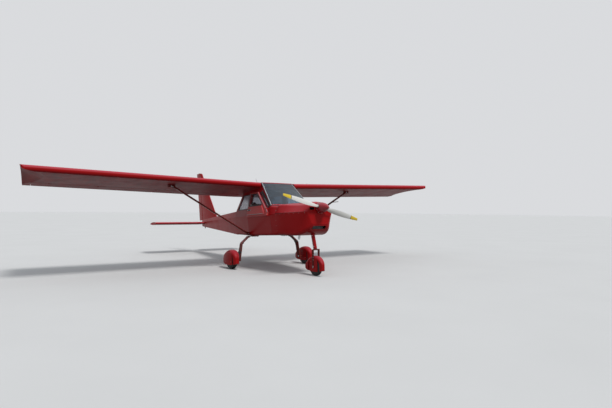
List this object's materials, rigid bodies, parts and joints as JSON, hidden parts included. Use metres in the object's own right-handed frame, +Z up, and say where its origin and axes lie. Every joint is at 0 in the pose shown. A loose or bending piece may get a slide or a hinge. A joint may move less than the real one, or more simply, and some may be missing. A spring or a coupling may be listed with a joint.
{
  "type": "ultralight aircraft",
  "caption": "High-wing two-seat ultralight aircraft with struts, tricycle gear in wheel fairings, hinged doors, flaps, ailerons, rudder and all-moving tailplane.",
  "frame": {"origin": "on the ground, below the middle of the bounding box", "axes": "+X forwards along the fuselage, +Y to the port wing tip, +Z up"},
  "size_m": [6.4686, 9.2938, 2.2671],
  "materials": {
    "red_paint": "gloss red paint on composite and metal skins",
    "wing_paint": "gloss red paint on the wing skins",
    "door_paint": "gloss red paint on the door panels",
    "cabin_frame": "gloss red paint on the cabin frame",
    "clear_glazing": "clear polycarbonate",
    "rear_glazing": "pale polycarbonate",
    "prop_blades": "white gel coat with yellow tips",
    "spinner_paint": "dark red gloss",
    "gear_steel": "grey-brown painted spring steel",
    "dark_metal": "dark satin paint",
    "bare_metal": "plain aluminium",
    "tyre_rubber": "black tyre rubber",
    "rim_metal": "cast aluminium",
    "engine_metal": "engine castings",
    "firewall_metal": "sheet metal",
    "seat_cover": "dark woven cover over foam",
    "seat_base": "black seat base",
    "panel_black": "crackle black",
    "white_plastic": "white lens"
  },
  "bodies": {
    "airframe": {"tail_boom": "red_paint", "cabin_tub": "red_paint", "cabin_side_left": "cabin_frame", "cabin_side_right": "cabin_frame", "firewall": "firewall_metal", "scuttle": "red_paint", "cowling_upper": "red_paint", "cowling_lower": "red_paint", "engine_block": "engine_metal", "engine_mount": "dark_metal", "windshield": "clear_glazing", "centre_roof": "wing_paint", "roof_window": "clear_glazing", "rear_window": "rear_glazing", "quarter_windows": "clear_glazing", "rear_side_windows": "rear_glazing", "wing_left": "wing_paint", "wing_right": "wing_paint", "strut_left": "dark_metal", "strut_right": "dark_metal", "fin": "red_paint", "main_leg_left": "gear_steel", "main_leg_right": "gear_steel", "main_spat_left": "red_paint", "main_spat_right": "red_paint", "nose_leg": "red_paint", "seat_left": "seat_cover", "seat_right": "seat_cover", "seat_frame_left": "seat_base", "seat_frame_right": "seat_base", "instrument_panel": "panel_black", "control_sticks": "dark_metal", "exhaust": "bare_metal", "antenna": "dark_metal", "tail_light": "white_plastic", "pitot_probe": "dark_metal"},
    "propeller": {"spinner": "spinner_paint", "propeller": "prop_blades"},
    "wheel_left": {"main_tyre_left": "tyre_rubber", "main_rim_left": "rim_metal"},
    "wheel_right": {"main_tyre_right": "tyre_rubber", "main_rim_right": "rim_metal"},
    "nose_steering": {"nose_fork": "dark_metal", "nose_spat": "red_paint"},
    "nose_wheel": {"nose_tyre": "tyre_rubber", "nose_rim": "rim_metal"},
    "door_left": {"door_left": "door_paint", "door_glass_left": "clear_glazing"},
    "door_right": {"door_right": "door_paint", "door_glass_right": "clear_glazing"},
    "flap_left": {"flap_left": "wing_paint"},
    "flap_right": {"flap_right": "wing_paint"},
    "aileron_left": {"aileron_left": "wing_paint"},
    "aileron_right": {"aileron_right": "wing_paint"},
    "rudder": {"rudder": "red_paint"},
    "stabilator": {"stabilator": "red_paint"},
    "trim_tab": {"trim_tab": "red_paint"}
  },
  "joints": [
    {"name": "propeller_spin", "type": "hinge", "parent": "airframe", "child": "propeller", "pos_m": [3.04856, 0, 1.26382], "axis": [0.9984, 0, 0.0558], "continuous": true},
    {"name": "wheel_left_spin", "type": "hinge", "parent": "airframe", "child": "wheel_left", "pos_m": [1.16523, 0.91, 0.178], "axis": [0, 1, 0], "continuous": true},
    {"name": "wheel_right_spin", "type": "hinge", "parent": "airframe", "child": "wheel_right", "pos_m": [1.16523, -0.91, 0.178], "axis": [0, 1, 0], "continuous": true},
    {"name": "nose_steer", "type": "hinge", "parent": "airframe", "child": "nose_steering", "pos_m": [2.75845, 0, 0.79189], "axis": [-0.2957, 0, 0.9553], "range_deg": [-20, 20]},
    {"name": "nose_wheel_spin", "type": "hinge", "parent": "nose_steering", "child": "nose_wheel", "pos_m": [2.86461, 0, 0.165], "axis": [0, 1, 0], "continuous": true},
    {"name": "door_left_hinge", "type": "hinge", "parent": "airframe", "child": "door_left", "pos_m": [1.98286, 0.56, 1.12111], "axis": [0.0558, 0, -0.9984], "range_deg": [0, 75]},
    {"name": "door_right_hinge", "type": "hinge", "parent": "airframe", "child": "door_right", "pos_m": [1.98286, -0.56, 1.12111], "axis": [-0.0558, 0, 0.9984], "range_deg": [0, 75]},
    {"name": "flap_left_hinge", "type": "hinge", "parent": "airframe", "child": "flap_left", "pos_m": [0.42556, 1.3348, 1.62512], "axis": [0.0016, -0.9996, -0.0279], "range_deg": [0, 35]},
    {"name": "flap_right_hinge", "type": "hinge", "parent": "airframe", "child": "flap_right", "pos_m": [0.42556, -1.3348, 1.62512], "axis": [-0.0016, -0.9996, 0.0279], "range_deg": [0, 35]},
    {"name": "aileron_left_hinge", "type": "hinge", "parent": "airframe", "child": "aileron_left", "pos_m": [0.42244, 3.33752, 1.68097], "axis": [0.0016, -0.9996, -0.0279], "range_deg": [-18, 18]},
    {"name": "aileron_right_hinge", "type": "hinge", "parent": "airframe", "child": "aileron_right", "pos_m": [0.42244, -3.33752, 1.68097], "axis": [-0.0016, -0.9996, 0.0279], "range_deg": [-18, 18]},
    {"name": "rudder_hinge", "type": "hinge", "parent": "airframe", "child": "rudder", "pos_m": [-2.69251, 0, 0.88977], "axis": [-0.2251, 0, 0.9743], "range_deg": [-25, 25]},
    {"name": "stabilator_pivot", "type": "hinge", "parent": "airframe", "child": "stabilator", "pos_m": [-2.52886, 0, 0.82881], "axis": [0, -1, 0], "range_deg": [-15, 5]},
    {"name": "trim_tab_hinge", "type": "hinge", "parent": "stabilator", "child": "trim_tab", "pos_m": [-2.93822, 0, 0.80592], "axis": [0, -1, 0], "range_deg": [-22.5, 7.5]}
  ],
  "couplings": [
    {"joint": "flap_right_hinge", "follows": "flap_left_hinge", "ratio": 1},
    {"joint": "aileron_right_hinge", "follows": "aileron_left_hinge", "ratio": -1},
    {"joint": "trim_tab_hinge", "follows": "stabilator_pivot", "ratio": 1.5}
  ]
}
